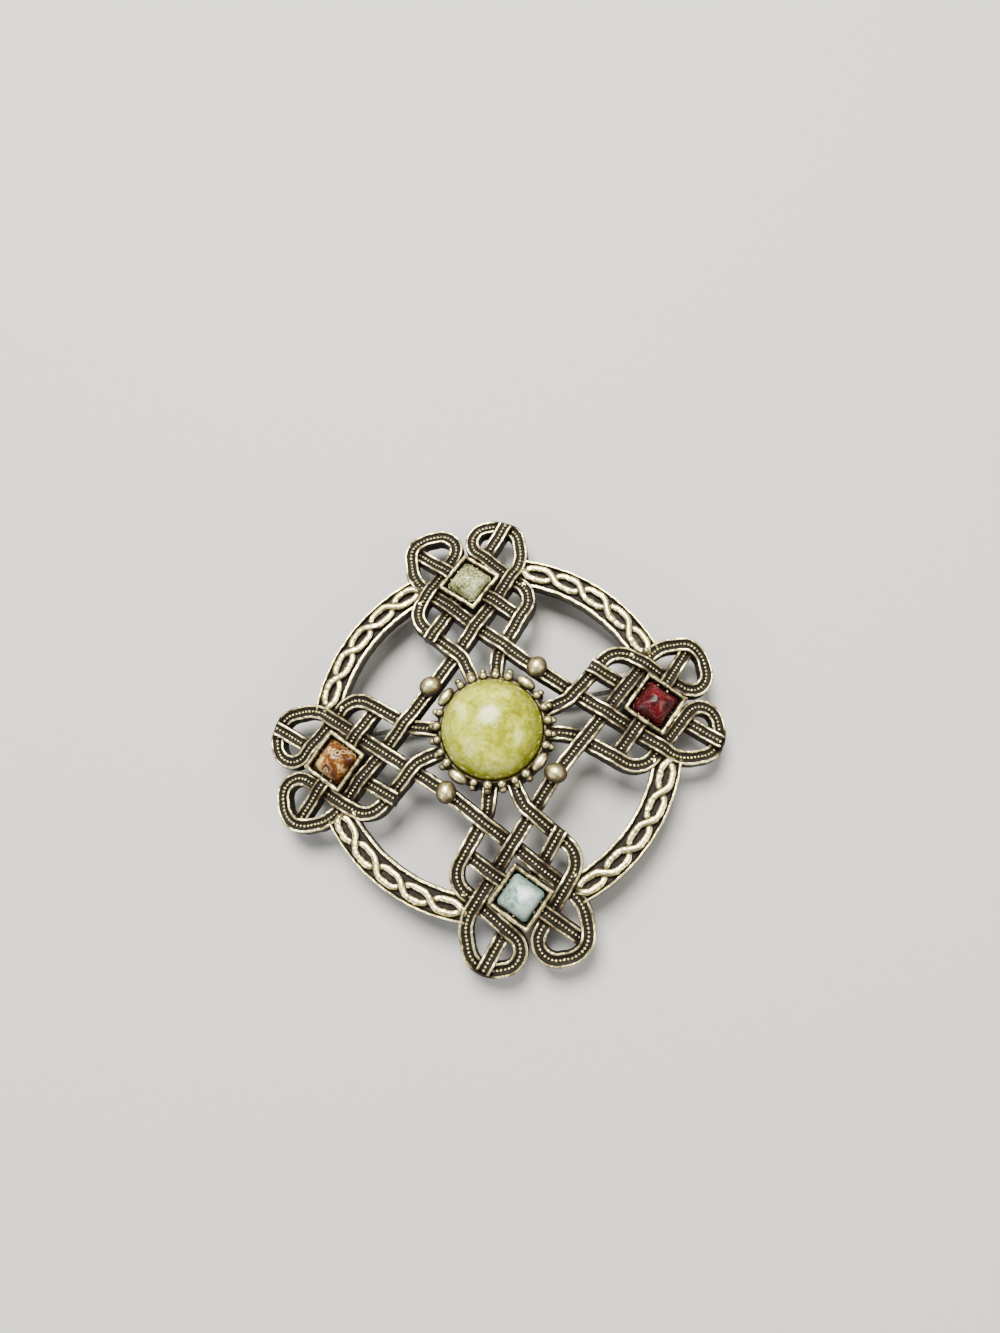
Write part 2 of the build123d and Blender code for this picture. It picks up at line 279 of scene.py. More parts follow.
glasses = {
    "green": {
        "ramp": [(0.37, screenColour(112, 110, 8)), (0.46, screenColour(152, 156, 26)),
                 (0.54, screenColour(186, 192, 60)), (0.66, screenColour(222, 228, 128))],
        "cloud": 3.2, "warp": 0.0030, "fine": 0.8, "fineShare": 0.25,
        "vein": screenColour(112, 114, 20), "veinSize": 2.6, "veinWidth": 0.02, "veinShare": 0.6,
        "ring": screenColour(205, 212, 150), "ringCell": 2.4,
        "ringAt": 0.27, "ringWidth": 0.035, "ringShare": 0.5,
        "edge": screenColour(78, 76, 8), "rimShadeShare": 0.85,
        "gloss": 0.12, "dimple": 0.25, "shine": 0.5,
    },
    "grey": {
        "ramp": [(0.41, screenColour(52, 54, 30)), (0.46, screenColour(126, 130, 84)),
                 (0.51, screenColour(174, 178, 126)), (0.60, screenColour(222, 226, 190))],
        "cloud": 1.5, "warp": 0.0010, "fine": 0.30, "fineShare": 0.5,
        "vein": screenColour(44, 48, 34), "veinSize": 1.0, "veinWidth": 0.015, "veinShare": 0.5,
        "ring": screenColour(38, 38, 24), "ringCell": 0.42,
        "ringAt": 0.0, "ringWidth": 0.22, "ringShare": 1.0,
        "edge": screenColour(76, 78, 36), "rimShadeShare": 0.65,
        "gloss": 0.13, "dimple": 0.45, "shine": 0.5,
    },
    "red": {
        "ramp": [(0.37, screenColour(20, 2, 5)), (0.45, screenColour(54, 4, 9)),
                 (0.54, screenColour(82, 8, 14)), (0.72, screenColour(124, 36, 42))],
        "cloud": 1.5, "warp": 0.0016, "fine": 0.4, "fineShare": 0.4,
        "vein": screenColour(150, 72, 78), "veinSize": 1.5, "veinWidth": 0.012, "veinShare": 0.55,
        "ring": screenColour(150, 74, 78), "ringCell": 1.7,
        "ringAt": 0.30, "ringWidth": 0.03, "ringShare": 0.5,
        "edge": screenColour(26, 2, 8), "rimShadeShare": 0.65,
        "gloss": 0.21, "dimple": 0.75, "shine": 0.28,
    },
    "milky": {
        "ramp": [(0.37, screenColour(74, 106, 88)), (0.45, screenColour(142, 170, 158)),
                 (0.52, screenColour(200, 216, 214)), (0.60, screenColour(240, 245, 250))],
        "cloud": 2.4, "warp": 0.0014, "fine": 0.7, "fineShare": 0.15,
        "vein": screenColour(228, 235, 242), "veinSize": 1.9, "veinWidth": 0.03, "veinShare": 0.5,
        "ring": screenColour(110, 140, 130), "ringCell": 2.2,
        "ringAt": 0.3, "ringWidth": 0.05, "ringShare": 0.3,
        "edge": screenColour(60, 88, 78), "rimShadeShare": 0.85,
        "gloss": 0.12, "dimple": 0.2, "shine": 0.55,
    },
    "amber": {
        "ramp": [(0.40, screenColour(52, 27, 9)), (0.47, screenColour(98, 59, 20)),
                 (0.515, screenColour(148, 100, 44)), (0.57, screenColour(214, 186, 126))],
        "cloud": 1.5, "warp": 0.0006, "fine": 0.4, "fineShare": 0.12,
        "vein": screenColour(104, 42, 16), "veinSize": 1.4, "veinWidth": 0.02, "veinShare": 0.7,
        "ring": screenColour(222, 196, 158), "ringCell": 1.15,
        "ringAt": 0.22, "ringWidth": 0.085, "ringShare": 1.0,
        "edge": screenColour(58, 28, 10), "rimShadeShare": 0.65,
        "gloss": 0.17, "dimple": 0.6, "shine": 0.45,
    },
}


def marbledGlass(name, look):
    material, start, place = newMaterial(name)
    # a stone's worn value is 1 at the crown and 0 at the edge; it only paints shade, towards the edge
    middle = start.add("ShaderNodeAttribute", {"attribute_name": "worn"}, out=2)
    drift = place.noise(look["cloud"] * 0.8, 2.0, out=1)
    swirled = place.shifted(drift, look["warp"])
    cloud = swirled.noise(look["cloud"], 5.0, 0.62)
    speckle = place.noise(look["fine"], 4.0, 0.65)
    tone = cloud * (1 - look["fineShare"]) + speckle * look["fineShare"]
    body = tone.ramp(look["ramp"])
    veins = swirled.noise(look["veinSize"], 3.0, 0.5).band(0.5, look["veinWidth"])
    veined = (veins * look["veinShare"]).blend(body, (*look["vein"], 1))
    curls = swirled.cells(look["ringCell"]).band(look["ringAt"], look["ringWidth"])
    someCurls = curls * (place.noise(3.0, 1.0) * 6.0 - 2.4).limited() * look["ringShare"]
    curled = someCurls.blend(veined, (*look["ring"], 1))
    # painted shade: the stone darkens to its edge colour as its value falls towards the edge
    edge = ((1 - middle) * look["rimShadeShare"]).limited()
    dents = {"Strength": look["dimple"], "Distance": 0.00012, "Height": tone}
    bump = start.add("ShaderNodeBump", None, dents)
    finishMaterial(start, {
        "Base Color": edge.blend(curled, (*look["edge"], 1)),
        "Roughness": look["gloss"] + speckle * 0.10,
        "IOR": 1.45,
        "Specular IOR Level": look["shine"],
        "Normal": bump,
    })
    return material


knotSilver = antiqueSilver("knotSilver", -0.02)
ringSilver = antiqueSilver("ringSilver", 0.04)
boxSilver = antiqueSilver("boxSilver", -0.10, 1.35)
cupSilver = antiqueSilver("cupSilver", -0.10)
beadSilver = antiqueSilver("beadSilver", -0.08, 0.8)
studSilver = antiqueSilver("studSilver", -0.16, 0.45)
castMetal = fittingMetal("castMetal", fittings["cast"])
pinSteel = fittingMetal("pinSteel", fittings["steel"])
rollerMetal = fittingMetal("rollerMetal", fittings["roller"])
glass = {name: marbledGlass(name + "Glass", look) for name, look in glasses.items()}
print("materials made")


# meshes
class Shell:  # gathers points, faces and each point's wear and painted shade, in millimetres
    def __init__(self):
        self.points = []
        self.faces = []
        self.worn = []

    def loops(self, rows, wearAndShadeRow, capStart=True, capEnd=True, closed=True):
        first = len(self.points)
        count = len(rows[0])
        for index, row in enumerate(rows):
            self.points.extend(row)
            self.worn.extend(wearAndShadeRow[index] if isinstance(wearAndShadeRow[0], (list, tuple)) else wearAndShadeRow)
        for row in range(len(rows) - 1):
            for step in range(count if closed else count - 1):
                a = first + row * count + step
                b = first + row * count + (step + 1) % count
                self.faces.append((a, b, b + count, a + count))
        if capStart:
            self.faces.append(tuple(first + step for step in reversed(range(count))))
        if capEnd:
            last = first + (len(rows) - 1) * count
            self.faces.append(tuple(last + step for step in range(count)))

    def moved(self, place):  # place turns a point in the shell's own axes into the brooch's
        self.points = [place(point) for point in self.points]
        return self

    def piece(self, name, material, node, slot, body="frame", sharp=38):
        mesh = bpy.data.meshes.new(name)
        mesh.from_pydata([Vector(point) * mm for point in self.points], [], self.faces)
        mesh.attributes.new("worn", "FLOAT", "POINT").data.foreach_set("value", self.worn)
        mesh.shade_smooth()
        mesh.set_sharp_from_angle(angle=math.radians(sharp))
        mesh.materials.append(material)
        thing = bpy.data.objects.new(name, mesh)
        bpy.context.scene.collection.objects.link(thing)
        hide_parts(node)
        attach(thing, body)
        return thing


def ovalBead(shell, middle, along, radii, topWearAndShade, turns=12, rings=7, lowest=-0.5, footShare=0.30):
    # an oval bead: along is its plan direction, radii are along, across and up; it is cut off low down
    ux, uy = math.cos(along), math.sin(along)
    rows = []
    wearAndShadeRows = []
    for ring in range(rings):
        rise = lowest * math.pi / 2 + (1 - lowest) * math.pi / 2 * ring / (rings - 1) * 0.985
        row = []
        for turn in range(turns):
            angle = 2 * math.pi * turn / turns
            a = radii[0] * math.cos(rise) * math.cos(angle)
            b = radii[1] * math.cos(rise) * math.sin(angle)
            row.append((middle[0] + a * ux - b * uy, middle[1] + a * uy + b * ux,
                        middle[2] + radii[2] * math.sin(rise)))
        rows.append(row)
        # darker towards the foot: the value falls from the bead's top to its foot
        wearAndShadeRows.append([topWearAndShade * max(0.0, footShare + (1.1 - footShare) * math.sin(rise))] * turns)
    shell.loops(rows, wearAndShadeRows)


# knot arms
knot = {
    "fall": 8.53,  # degrees that an arm slopes down outwards
    "apex": 2.7,  # height above the ring's top at which the arm planes would meet
    "halfWidth": 0.76,
    "setting": 17.33,
    "loopHalf": 6.2, "loopFoot": 1.55, "loopRise": 6.8, "loopReturn": 1.25,
    "bellyHalf": 6.9, "bellyDrop": 2.9,
    "tailHalf": 1.9, "tailRise": 1.7, "rootHalf": 1.2, "rootSink": 0.9, "rootDip": 0.55,
    "radii": [4.0, 2.6, 1.9, 2.5, 1.5],
    "barA": [(5.1, 6.65), (-5.3, -6.1)],
    "barB": [(-5.85, 5.6), (5.3, -5.6)],
    "step": 0.15,
    "stretch": {"top": 0.99, "right": 0.92, "bottom": 1.0, "left": 0.96},  # uneven casting past the stones
    "over": 0.30, "under": 0.42, "weaveReach": 1.75,
    "beadPitch": 0.41, "beadRadius": 0.175, "beadRise": 1.45, "beadFloor": -0.27, "beadWorn": 1.5,
    "ragged": 0.05,  # how uneven the hand-cast edges are, mm
    "drift": 0.9, "nick": 2.6,  # how often they wander and how often they are nicked, per mm
    "lift": 0.015, "liftMost": 0.06, "slope": 0.02,  # these keep the undersides of crossing bands apart
    "shadeFrom": 0.7, "shadeReach": 0.6,  # painted shade, with patina, darkens a band beside the band passing over it
    "polishShadeLeast": 0.66, "polishShadeFrom": 3.6, "polishShadeReach": 2.2,
    "dipReach": 1.7,
}
# half of the band's outline from its middle out: across, height from its top, and how worn it is there;
# the points below -1 stay on the arm's underside
bandSide = [
    (0.30, -0.33, 0.0), (0.41, -0.26, 0.02), (0.46, -0.10, 0.45), (0.53, 0.0, 0.95), (0.62, 0.025, 1.0),
    (0.71, -0.01, 0.95), (0.765, -0.12, 0.5), (0.79, -0.32, 0.12), (0.80, -0.70, 0.02), (0.80, -1.42, 0.12),
    (0.73, -1.50, 0.40),
]
bandProfile = [(-u, v, worn) for u, v, worn in reversed(bandSide)] + [(0.0, -0.33, 0.0)] + bandSide


def roundedRoute(corners, radii, step):
    # points at even steps along straight runs joined by tangent arcs
    pieces = []
    here = Vector(corners[0])
    for index in range(1, len(corners) - 1):
        before, corner, after = (Vector(corners[index + k]) for k in (-1, 0, 1))
        come = (corner - before).normalized()
        leave = (after - corner).normalized()
        turn = math.atan2(come.x * leave.y - come.y * leave.x, come.dot(leave))
        trim = radii[index - 1] * math.tan(abs(turn) / 2)
        start = corner - come * trim
        side = math.copysign(1, turn)
        middle = start + Vector((-come.y, come.x)) * side * radii[index - 1]
        pieces.append(("run", here, start))
        fromAngle = math.atan2(come.y, come.x) - side * math.pi / 2
        pieces.append(("arc", middle, radii[index - 1] * side, fromAngle, turn))
        here = corner + leave * trim
    pieces.append(("run", here, Vector(corners[-1])))
    route = []
    for piece in pieces:
        if piece[0] == "run":
            length = (piece[2] - piece[1]).length
            count = max(1, round(length / step))
            route += [piece[1].lerp(piece[2], k / count) for k in range(count)]
        else:
            middle, radius, start, turn = piece[1:]
            count = max(2, round(abs(radius * turn) / step))
            for k in range(count):
                angle = start + turn * k / count
                route.append(middle + abs(radius) * Vector((math.cos(angle), math.sin(angle))))
    route.append(Vector(corners[-1]))
    return route


def routeLengths(route):
    lengths = [0.0]
    for a, b in zip(route, route[1:]):
        lengths.append(lengths[-1] + (b - a).length)
    return lengths


def knotRoutes():
    along = 1 / math.cos(math.radians(knot["fall"]))
    setting = knot["setting"] * along
    root = hubRadius * along
    stud = studMiddle.x
    corners = [
        (-stud, stud * along),
        (knot["loopHalf"], setting + knot["loopFoot"]),
        (knot["loopHalf"], setting + knot["loopRise"]),
        (-knot["loopReturn"], setting + knot["loopRise"]),
        (knot["bellyHalf"], setting - knot["bellyDrop"]),
        (knot["tailHalf"], root + knot["tailRise"]),
        (knot["rootHalf"], root - knot["rootSink"]),
    ]
    strandA = roundedRoute(corners, knot["radii"], knot["step"])
    strandB = roundedRoute([(-x, y) for x, y in corners], knot["radii"], knot["step"])
    bars = [roundedRoute([(x, setting + y) for x, y in knot[bar]], [], knot["step"])
            for bar in ("barA", "barB")]
    return [strandA, strandB, *bars]


def findCrossings(routes):
    # distance along each route at which it crosses another, or itself
    found = [[] for route in routes]
    lengths = [routeLengths(route) for route in routes]
    boxes = [[(min(a.x, b.x), max(a.x, b.x), min(a.y, b.y), max(a.y, b.y)) for a, b in zip(route, route[1:])]
             for route in routes]
    for one in range(len(routes)):
        for two in range(one, len(routes)):
            for i, boxA in enumerate(boxes[one]):
                for j in range(i + 2 if one == two else 0, len(boxes[two])):
                    boxB = boxes[two][j]
                    if boxA[0] > boxB[1] or boxB[0] > boxA[1] or boxA[2] > boxB[3] or boxB[2] > boxA[3]:
                        continue
                    a, b = routes[one][i], routes[one][i + 1]
                    c, d = routes[two][j], routes[two][j + 1]
                    u, v, w = b - a, d - c, c - a
                    slant = u.x * v.y - u.y * v.x
                    if abs(slant) < 1e-9:
                        continue
                    s = (w.x * v.y - w.y * v.x) / slant
                    t = (w.x * u.y - w.y * u.x) / slant
                    if 0 <= s < 1 and 0 <= t < 1:
                        found[one].append(lengths[one][i] + s * u.length)
                        found[two].append(lengths[two][j] + t * v.length)
    return [sorted(places) for places in found], lengths


def weaveHeight(distance, crossings, firstOver):
    height = 0.0
    for index, place in enumerate(crossings):
        over = (index % 2 == 0) == firstOver
        share = abs(distance - place) / knot["weaveReach"]
        if share < 1:
            swell = 0.5 + 0.5 * math.cos(math.pi * share)
            height += swell * (knot["over"] if over else -knot["under"])
    return height


def coverings(crossings, firstOver):  # the crossings at which another band passes over this one
    return [place for index, place in enumerate(crossings) if (index % 2 == 0) != firstOver]


def buriedAt(distance, crossings, firstOver, reach):
    # true where the band lies under another
    return any(abs(distance - place) < reach for place in coverings(crossings, firstOver))


def polishAndShade(point):  # darker near the stone box: partly tarnish, as hands and cloths reach the outer loops and not the bands beside the stone box, partly painted shade
    away = math.hypot(point.x, point.y - knot["setting"]) - knot["polishShadeFrom"]
    least = knot["polishShadeLeast"]
    return least + (1 - least) * min(1.0, max(0.0, away / knot["polishShadeReach"]))


def shadeBesideCrossing(distance, crossings, firstOver, least):  # painted shade, with patina: least beside a band passing over, 1 away from it
    near = min([abs(distance - place) for place in coverings(crossings, firstOver)] or [math.inf])
    return min(1.0, max(least, (near - knot["shadeFrom"]) / knot["shadeReach"]))


def rootDip(left, dips):  # the strands go down under the grains where they reach the cup
    return knot["rootDip"] * max(0.0, 1 - left / knot["dipReach"]) ** 1.5 if dips else 0.0


def sweepBand(shell, route, lengths, crossings, firstOver, seed, dips):
    rows = []
    wearAndShadeRows = []
    for index, point in enumerate(route):
        before = route[max(0, index - 1)]
        after = route[min(len(route) - 1, index + 1)]
        ahead = (after - before).normalized()
        across = Vector((ahead.y, -ahead.x))
        distance = lengths[index]
        top = weaveHeight(distance, crossings, firstOver) - rootDip(lengths[-1] - distance, dips)
        shade = shadeBesideCrossing(distance, crossings, firstOver, 0.2) * polishAndShade(point)
        row = []
        rowWearAndShade = []
        for u, v, worn in bandProfile:
            side = math.copysign(1.0, u) * 3
            broad, fine = knot["drift"], knot["nick"]
            drift = noise.noise(Vector((point.x * broad + side, point.y * broad, seed * 7.3)))
            nick = noise.noise(Vector((point.x * fine + side, point.y * fine, seed * 5.1 + 40)))
            spot = point + across * (u + knot["ragged"] * (drift + 0.6 * nick) * min(1.0, abs(u) * 2))
            lift = knot["lift"] * seed % knot["liftMost"] + knot["slope"] * distance / lengths[-1]
            height = v + lift if v < -1 else top + v + knot["ragged"] * (0.5 * drift + nick)
            row.append((spot.x, spot.y, height))
            rowWearAndShade.append(worn * (1.0 if v < -1 else shade * (1.0 + 0.5 * drift)))
        rows.append(row)
        wearAndShadeRows.append(rowWearAndShade)
    shell.loops(rows, wearAndShadeRows)
    for count in range(int(lengths[-1] / knot["beadPitch"])):
        distance = (count + 0.5) * knot["beadPitch"]
        if buriedAt(distance, crossings, firstOver, knot["halfWidth"]):
            continue
        index = min(len(route) - 2, max(k for k in range(len(lengths)) if lengths[k] <= distance))
        share = (distance - lengths[index]) / max(1e-6, lengths[index + 1] - lengths[index])
        spot = route[index].lerp(route[index + 1], share)
        top = weaveHeight(distance, crossings, firstOver) - rootDip(lengths[-1] - distance, dips)
        size = knot["beadRadius"] * (1 + 0.10 * math.sin(count * 2.4 + seed))
        # the beads take the same painted shade beside a band passing over and near the stone box
        worn = knot["beadWorn"] * polishAndShade(spot) * shadeBesideCrossing(distance, crossings, firstOver, 0.55)
        middle = (spot.x, spot.y, top + knot["beadFloor"])
        ovalBead(shell, middle, 0, (size, size, size * knot["beadRise"]), worn, 10, 6, 0.0, -0.05)


def castUneven(name):
    middle = knot["setting"] / math.cos(math.radians(knot["fall"]))
    return lambda point: (point[0], point[1] if point[1] < middle
                          else middle + (point[1] - middle) * knot["stretch"][name], point[2])


def armPlace(angle):
    turn = math.radians(angle)
    fall = math.radians(knot["fall"])
    sideways = Vector((math.sin(turn), -math.cos(turn), 0))
    up = Vector((math.sin(fall) * math.cos(turn), math.sin(fall) * math.sin(turn), math.cos(fall)))
    outwards = up.cross(sideways)
    apex = Vector((0, 0, ringTop + knot["apex"]))
    return lambda point: apex + sideways * point[0] + outwards * point[1] + up * point[2]


routes = knotRoutes()
crossings, lengths = findCrossings(routes)
firstOvers = [False, True, True, False]
for number, (name, angle) in enumerate(quarterTurns.items()):
    arm = Shell()
    for k, route in enumerate(routes):
        sweepBand(arm, route, lengths[k], crossings[k], firstOvers[k], number * 4 + k, k < 2)
    arm.moved(castUneven(name)).moved(armPlace(angle))
    arm.piece("knotArm" + name.title(), knotSilver, "arm_" + name, "knot_silver")
print("knot arms made, crossings", [len(places) for places in crossings])


# ring arcs with their plaited strands
ring = {
    "inner": 16.9,
    "from": 16.5, "to": 73.5,  # degrees within a quarter
    "dip": 0.75, "dipOver": 3.2,  # the ends go down under the arms' bands
    "plaitMiddle": 18.58, "plaitSwing": 0.73, "plaitRise": 0.09, "plaitTop": -0.13,
    "eye": 10.5, "phase": 49.7,
    "strandHalf": 0.40, "strandHeight": 0.40, "flatten": 0.62, "strandInset": 1.2,
    "steps": 150, "strandSteps": 210,
    "wobble": 0.05, "wobbles": 26, "swell": 0.22, "lump": 0.05,  # how uneven the casting is
}
# across the ring from its inner edge, height from its top, and how worn it is there
ringProfile = [
    (0.10, -1.70, 0.40), (0.0, -1.60, 0.15), (0.0, -0.9, 0.06), (0.02, -0.30, 0.30), (0.05, -0.08, 0.75),
    (0.12, 0.0, 1.0), (0.30, 0.0, 1.0), (0.40, -0.10, 0.6), (0.47, -0.32, 0.05), (0.55, -0.46, 0.0),
    (1.55, -0.48, 0.0), (2.62, -0.46, 0.0), (2.74, -0.32, 0.08), (2.80, -0.10, 0.6), (2.87, 0.0, 1.0),
    (2.97, 0.0, 1.0), (3.05, -0.08, 0.75), (3.09, -0.30, 0.30), (3.10, -0.9, 0.1), (3.10, -1.60, 0.2),
    (3.0, -1.70, 0.40),
]
strandProfile = [
    (-1.0, -1.0, 0.0), (-0.97, -0.3, 0.1), (-0.84, 0.35, 0.6), (-0.55, 0.85, 1.0), (0.0, 1.0, 1.0),
    (0.55, 0.85, 1.0), (0.84, 0.35, 0.6), (0.97, -0.3, 0.1), (1.0, -1.0, 0.0),
]


def ringDip(degrees):
    edge = min(degrees - ring["from"], ring["to"] - degrees) / ring["dipOver"]
    return -ring["dip"] * (0.5 + 0.5 * math.cos(math.pi * min(1.0, max(0.0, edge))))


def makeRingArc(name, startAngle, seed):
    shell = Shell()
    rows = []
    wearAndShadeRows = []
    steps = ring["steps"]
    for step in range(steps + 1):
        degrees = ring["from"] + (ring["to"] - ring["from"]) * step / steps
        angle = math.radians(startAngle + degrees)
        row = []
        rowWearAndShade = []
        for u, v, worn in ringProfile:
            often = ring["wobbles"]
            spot = Vector((math.cos(angle) * often, math.sin(angle) * often, seed * 3.1 + u))
            wobble = ring["wobble"] * noise.noise(spot)
            radius = ring["inner"] + u + wobble
            height = ringTop + v + (0 if v < -1 else wobble + ringDip(degrees))
            row.append((radius * math.cos(angle), radius * math.sin(angle), height))
            rowWearAndShade.append(worn)
        rows.append(row)
        wearAndShadeRows.append(rowWearAndShade)
    shell.loops(rows, wearAndShadeRows)
    for strand in (0, 1):
        rows = []
        wearAndShadeRows = []
        first, last = ring["from"] + ring["strandInset"], ring["to"] - ring["strandInset"]
        count = ring["strandSteps"]
        centres = []
        for step in range(count + 1):
            degrees = first + (last - first) * step / count
            phase = math.pi * (degrees - ring["phase"]) / ring["eye"] + strand * math.pi
            swing = math.sin(phase) + 0.12 * math.sin(3 * phase)
            radius = ring["plaitMiddle"] + ring["plaitSwing"] * swing
            angle = math.radians(startAngle + degrees)
            rise = ring["plaitRise"] * math.cos(phase) + ringDip(degrees)
            spot = Vector((radius * math.cos(angle), radius * math.sin(angle)))
            centres.append((spot, ringTop + ring["plaitTop"] + rise, math.cos(phase)))
        for step, (spot, height, over) in enumerate(centres):
            ahead = (centres[min(count, step + 1)][0] - centres[max(0, step - 1)][0]).normalized()
            across = Vector((ahead.y, -ahead.x))
            half = ring["strandHalf"] * (1 + ring["swell"] * noise.noise(Vector((step * 0.16, strand, seed))))
            lump = ring["lump"] * noise.noise(Vector((step * 0.21, strand + 9, seed)))
            row = []
            rowWearAndShade = []
            for u, v, worn in strandProfile:
                place = spot + across * u * half
                row.append((place.x, place.y, height + lump + v * ring["strandHeight"] * ring["flatten"]))
                # painted shade: the strand is half as bright where it lies lowest, under the other strand
                rowWearAndShade.append(worn * (1.0 if over > -0.93 else 0.5))
            rows.append(row)
            wearAndShadeRows.append(rowWearAndShade)
        shell.loops(rows, wearAndShadeRows)
    label = "".join(part.title() for part in name.split("_"))
    shell.piece("ringArc" + label, ringSilver, "ring_" + name, "ring_silver")


for number, (name, angle) in enumerate(diagonals.items()):
    makeRingArc(name, angle - 45, number)
print("ring arcs made")


# square stone boxes
box = {"corner": 0.22, "innerCorner": 0.12, "innerFrom": 2.3, "hammer": 0.13, "dents": 2.1}
boxWall = [  # half side, height from the bands' top, worn
    (2.44, -1.5, 0.42), (2.50, -1.44, 0.1), (2.50, -0.5, 0.05), (2.52, 0.10, 0.2), (2.51, 0.34, 0.6),
    (2.45, 0.49, 0.95), (2.36, 0.55, 1.0), (2.22, 0.55, 1.0), (2.13, 0.50, 0.85), (2.06, 0.38, 0.4),
    (2.02, 0.10, 0.10), (1.96, -0.3, 0.0), (1.89, -0.9, 0.0),
]


def squareLoop(half, corner, height, arcSteps=6, sideSteps=9):
    # a square standing on its point, with rounded corners, as one loop of points
    def cornerPoint(side, degrees):
        point = math.radians(90 * side)
        angle = point + math.radians(degrees)
        reach = (half - corner) * math.sqrt(2)
        return Vector((reach * math.cos(point) + corner * math.cos(angle),
                       reach * math.sin(point) + corner * math.sin(angle)))
    loop = []
    for side in range(4):
        loop += [cornerPoint(side, -45 + 90 * step / arcSteps) for step in range(arcSteps + 1)]
        start, end = loop[-1], cornerPoint(side + 1, -45)
        loop += [start.lerp(end, step / sideSteps) for step in range(1, sideSteps)]
    return [(point.x, point.y, height) for point in loop]


settingAlong = knot["setting"] / math.cos(math.radians(knot["fall"]))
for number, (name, angle) in enumerate(quarterTurns.items()):
    shell = Shell()
    rows = []
    wearAndShadeRows = []
    for half, height, worn in boxWall:
        row = []
        rowWearAndShade = []
        corner = box["corner"] if half > box["innerFrom"] else box["innerCorner"]
        for x, y, z in squareLoop(half, corner, height):
            knock = box["hammer"] * noise.noise(Vector((x * box["dents"], y * box["dents"], number * 5.0)))
            raised = knock if height > 0 else 0.0
            row.append((x * (1 + raised * 0.35), y * (1 + raised * 0.35), z + raised * 0.7))
            rowWearAndShade.append(worn * (0.92 + 3.2 * raised))
        rows.append(row)
        wearAndShadeRows.append(rowWearAndShade)
    shell.loops(rows, wearAndShadeRows)
    place = armPlace(angle)
    shell.moved(lambda point: place((point[0], point[1] + settingAlong, point[2])))
    shell.piece("stoneBox" + name.title(), boxSilver, "setting_" + name, "setting_silver")
print("stone boxes made")


# corner stones, four soft curved faces meeting at ridges
cornerStone = {
    "half": 1.85, "corner": 0.52, "girdle": 0.10, "rise": 1.42, "foot": -0.88,
    "ridge": 6.0,  # the higher, the sharper the ridges
    "bulge": 1.75, "crown": 0.72, "rings": 30,
}


def cornerStoneShell():
    shell = Shell()
    half, girdle, ridge = cornerStone["half"], cornerStone["girdle"], cornerStone["ridge"]
    rings = cornerStone["rings"]
    rows = []
    wearAndShadeRows = []
    for size, height in ((0.97, cornerStone["foot"]), (1.0, girdle - 0.3), (1.0, girdle)):
        rows.append(squareLoop(half * size, cornerStone["corner"], height))
        wearAndShadeRows.append([0.0] * len(rows[0]))
    for level in range(1, rings + 1):
        size = max(0.01, math.cos(math.pi / 2 * level / rings))
        row = []
        for x, y, z in squareLoop(half * size, cornerStone["corner"] * size, 0):
            u, v = abs(x - y) / math.sqrt(2) / half, abs(x + y) / math.sqrt(2) / half
            far = min(1.0, (u**ridge + v**ridge) ** (1 / ridge))
            far = max(far, size) if level < 3 else far
            height = girdle + cornerStone["rise"] * (1 - far ** cornerStone["bulge"]) ** cornerStone["crown"]
            row.append((x, y, height))
        rows.append(row)
        # painted shade: the value falls from 1 at the crown to 0 at the girdle, so the stone darkens towards
        # its edge
        wearAndShadeRows.append([min(1.0, (1 - size) * 1.7)] * len(row))
    shell.loops(rows, wearAndShadeRows)
    return shell


stoneNames = {"top": "grey", "right": "red", "bottom": "milky", "left": "amber"}
for name, angle in quarterTurns.items():
    tint = stoneNames[name]
    place = armPlace(angle)
    stone = cornerStoneShell().moved(lambda point: place((point[0], point[1] + settingAlong, point[2])))
    stone.piece("cornerStone" + tint.title(), glass[tint], "stone_" + tint, tint + "_glass", sharp=60)
print("corner stones made")


# hub cup, rim grains, long beads, studs and the domed centre stone
hub = {
    "wall": [  # radius, height from the foot, worn
        (5.2, 0.0, 0.52), (6.0, 0.0, 0.50), (6.1, 0.1, 0.1), (6.25, 0.4, 0.05), (6.2, 1.2, 0.05),
        (5.95, 2.0, 0.1), (5.74, 2.45, 0.3), (5.58, 2.60, 0.7), (5.46, 2.60, 0.4), (5.41, 2.4, 0.0),
        (5.41, 0.9, 0.0),
    ],
    "turns": 96,
    "rib": (0.34, 0.26, 0.36), "ribReach": 6.28, "ribTop": 0.75, "ribStep": 0.42,
    "grains": 5, "grainStep": 13.5, "grainReach": 5.88, "grain": (0.50, 0.47, 0.50),
    "claw": (0.42, 0.38, 0.38), "clawReach": 6.40, "clawDrop": 0.34,
    "longBead": (1.18, 0.64, 0.60), "longReach": 6.10,
    "beadTop": 0.06,  # height of the beads' middles above the cup
    "stud": (1.22, 1.06, 1.08), "studFoot": (0.86, 0.86, 0.8), "studFootRise": 0.75,
    "domeSteps": 40, "domeShoulder": 0.96, "domeEdge": 1.3,
}


def roundLoop(radius, height):
    turns = [2 * math.pi * k / hub["turns"] for k in range(hub["turns"])]
    return [(radius * math.cos(turn), radius * math.sin(turn), height) for turn in turns]


